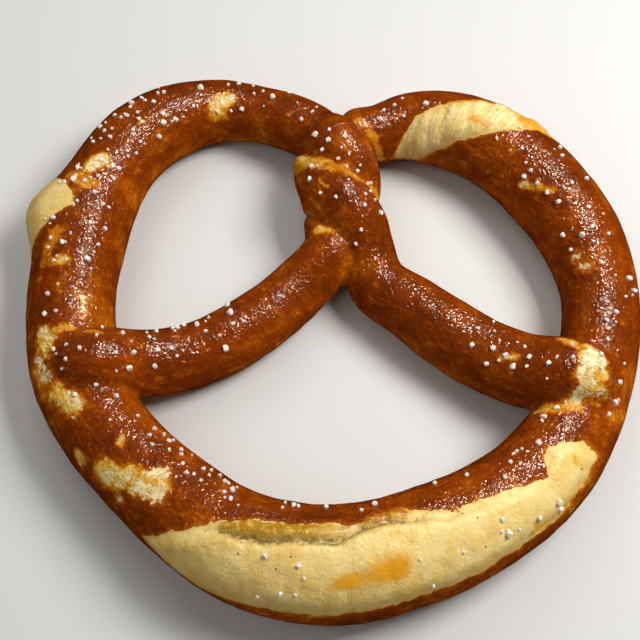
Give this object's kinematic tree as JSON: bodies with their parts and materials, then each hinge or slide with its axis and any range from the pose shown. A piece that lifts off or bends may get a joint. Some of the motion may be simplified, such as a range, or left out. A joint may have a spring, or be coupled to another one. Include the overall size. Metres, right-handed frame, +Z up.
{
  "type": "soft pretzel",
  "caption": "Large baked soft pretzel: one looped and twisted rope of dough with a thick burst belly, thin crossed arms pressed onto the ring, and coarse salt fused to its dark crust",
  "frame": {"origin": "middle of the underside, on the surface that the pretzel lies on", "axes": "+Z up through the thickness, +Y from the thick belly to the twist, +X to the right as seen from above with the belly nearest"},
  "size_m": [0.2437, 0.2354, 0.0403],
  "materials": {
    "crust": "glossy dark brown lye-baked crust, broken open to matte cream crumb at the belly, the right shoulder and the left side",
    "salt": "coarse off-white salt grains, slightly see-through at their edges"
  },
  "bodies": {
    "root": {"pretzel": "crust"}
  },
  "joints": []
}
